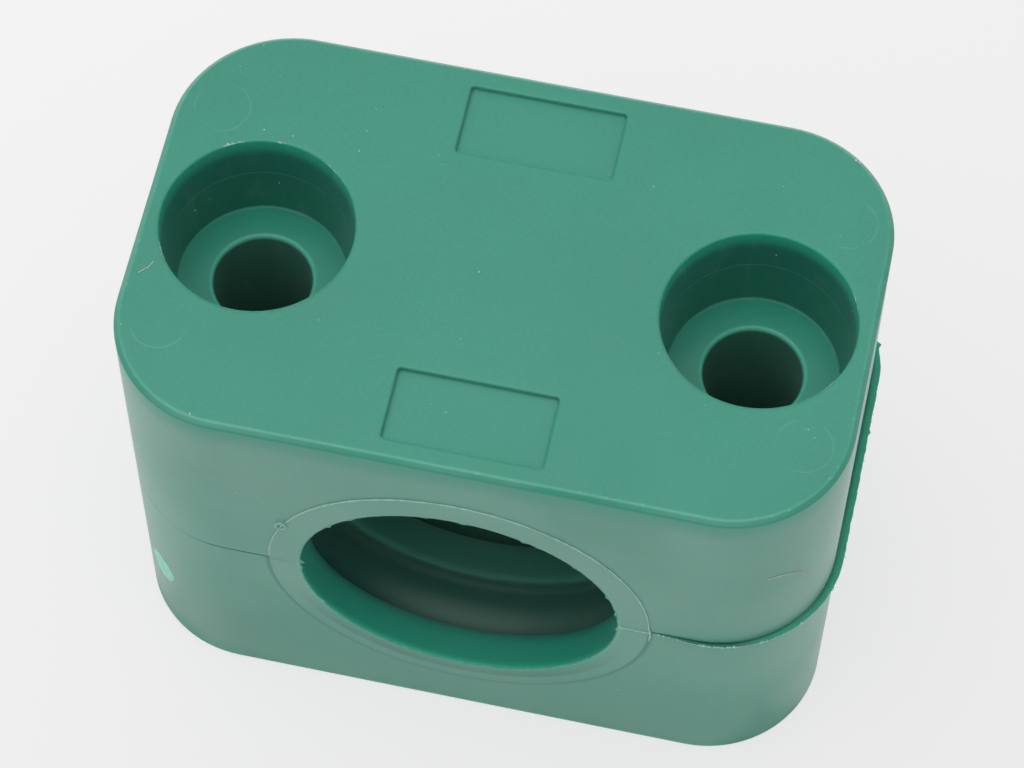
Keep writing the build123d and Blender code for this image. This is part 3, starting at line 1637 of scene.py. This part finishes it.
@dataclass(frozen=True)
class SoftStage:
    """The pale floor, the light and the camera."""

    floor_size: float = 3.0
    floor_level: float = 0.88
    shown_level: float = 0.880
    painted_falloff: float = 0.45
    shadow_share: float = 0.20
    mirrored_share: float = 0.85
    clear_share: float = 0.97
    zenith_level: float = 0.68
    zenith_rise: float = 0.9
    horizon_level: float = 0.16
    softbox_place: Tuple[float, float, float] = (-0.14, -0.06, 0.80)
    softbox_size: float = 0.90
    softbox_power: float = 3.6
    azimuth: float = math.radians(11.83)
    elevation: float = math.radians(61.62)
    roll: float = math.radians(-0.43)
    distance: float = 268.77 * MM
    aim: Tuple[float, float, float] = (0.13 * MM, 1.35 * MM, 0.0)
    lens: float = 138.36
    clip: Span = (0.01, 10.0)

    def build(self) -> None:
        """Sets out the floor, the light and the camera."""
        self._floor()
        self._sky()
        self._lamp()
        self._camera()
        log.info("stage: set out")

    def _floor(self) -> None:
        """A pale sheet under the clamp, which shows nearly white and keeps a soft shadow."""
        size = self.floor_size / 2
        corners = [
            (x * size, y * size, CAD_LOW.z) for x, y in ((-1, -1), (1, -1), (1, 1), (-1, 1))
        ]
        mesh = bpy.data.meshes.new("floor")
        mesh.from_pydata(corners, [], [(0, 1, 2, 3)])
        mesh.materials.append(self._sheet())
        add_object("floor", mesh)

    def _sheet(self) -> bpy.types.Material:
        """Makes the floor's material, which mirrors white except under the clamp, with a painted
        falloff of light.

        Returns:
            The material.
        """
        material = bpy.data.materials.new("pale_sheet")
        board = Board(material)
        local = board.add("TexCoord", output="Object")
        x, y = (board.part(local, axis) for axis in "XY")
        sheet = board.add("BsdfDiffuse", None, {"Color": (self.floor_level,) * 3})
        # painted light: the floor shows brighter towards the back left
        shown = self.shown_level + (y - x) * self.painted_falloff
        glow = board.add("Emission", None, {"Color": WHITE, "Strength": shown})
        white = board.add("Emission", None, {"Color": WHITE, "Strength": 1.0})
        clear = board.largest(
            board.step(abs(x), self.clear_share * CAD_HIGH.x, CAD_HIGH.x),
            board.step(abs(y), self.clear_share * CAD_HIGH.y, CAD_HIGH.y),
        )
        seen = board.add("LightPath", output="Is Camera Ray") * (1.0 - self.shadow_share)
        mirrored = board.add("LightPath", output="Is Glossy Ray") * clear * self.mirrored_share
        surface = board.add("MixShader", None, {0: seen, 1: sheet, 2: glow})
        board.finish(board.add("MixShader", None, {0: mirrored, 1: surface, 2: white}))
        return material

    def _sky(self) -> None:
        """White light from all round, strongest from above."""
        world = bpy.data.worlds.new("soft_tent")
        bpy.context.scene.world = world
        board = Board(world)
        direction = board.add("TexCoord", output="Generated")
        rise = board.step(board.part(direction, "Z"), 0.0, self.zenith_rise)
        level = self.horizon_level + rise * (self.zenith_level - self.horizon_level)
        strength = board.largest(level, board.add("LightPath", output="Is Camera Ray"))
        sky = board.add("Background", None, {"Color": WHITE, "Strength": strength})
        board.finish(sky, "OutputWorld")

    def _lamp(self) -> None:
        """A square soft lamp over the clamp, which points at it."""
        lamp = bpy.data.lights.new("overhead_softbox", "AREA")
        lamp.size = self.softbox_size
        lamp.energy = self.softbox_power
        holder = add_object("overhead_softbox", lamp)
        place = Vector(self.softbox_place)
        holder.location = place
        holder.rotation_mode = "QUATERNION"
        holder.rotation_quaternion = (-place).to_track_quat("-Z", "Y")

    def _camera(self) -> None:
        """Adds the camera, which looks down on the clamp from the front."""
        flat = math.cos(self.elevation)
        back = Vector((
            math.sin(self.azimuth) * flat,
            -math.cos(self.azimuth) * flat,
            math.sin(self.elevation),
        ))
        right = (-back).cross(Vector((0.0, 0.0, 1.0))).normalized()
        up = right.cross(-back)
        right, up = (
            right * math.cos(self.roll) - up * math.sin(self.roll),
            up * math.cos(self.roll) + right * math.sin(self.roll),
        )
        data = bpy.data.cameras.new("camera")
        data.lens = self.lens
        data.clip_start, data.clip_end = self.clip
        camera = add_object("camera", data)
        turn = Matrix((right, up, back)).transposed().to_4x4()
        camera.matrix_world = Matrix.Translation(Vector(self.aim) + back * self.distance) @ turn
        bpy.context.scene.camera = camera


def dress_halves(sizes: ClampSizes) -> bpy.types.Material:
    """Gives both halves their plastic.

    Args:
        sizes: the clamp's sizes.

    Returns:
        The plastic.
    """
    plastic = MouldedPlastic().make("moulded_polypropylene", sizes)
    for half in Half:
        node = frame["nodes"][half.node]
        node.data.materials.clear()
        node.data.materials.append(plastic)
        log.info("%s: finished", half.node)
    return plastic


def add_marks(sizes: ClampSizes, plastic: bpy.types.Material) -> None:
    """Adds what moulding and handling left on the clamp.

    Args:
        sizes: the clamp's sizes.
        plastic: the material of the halves.
    """
    thin = ThinPlastic().make("thin_polypropylene")
    torn = ThinPlastic(colour=(0.36, 0.88, 0.70), dull_share=0.85).make("torn_polypropylene")
    white = ThinPlastic(colour=(0.42, 0.72, 0.62), dull_share=0.75).make("stressed_polypropylene")
    lint = ThinPlastic(colour=(0.66, 0.72, 0.68), dull_share=0.8).make("lint")
    finishes = {
        SeamFlash: plastic,
        SeamCrumbs: torn,
        InsertFlash: white,
        BoreBurr: thin,
        WellBurrs: white,
        GateMark: torn,
        Lint: lint,
        Dust: lint,
    }
    for kind, material in finishes.items():
        kind(sizes).build(material)


def main() -> None:
    """Builds the look of the clamp, piece by piece."""
    logging.basicConfig(level=logging.INFO, format="%(message)s")
    bpy.context.scene.view_settings.view_transform = "Standard"
    sizes = ClampSizes.from_frame()
    plastic = dress_halves(sizes)
    add_marks(sizes, plastic)
    SoftStage().build()


if __name__ == "__main__":
    main()
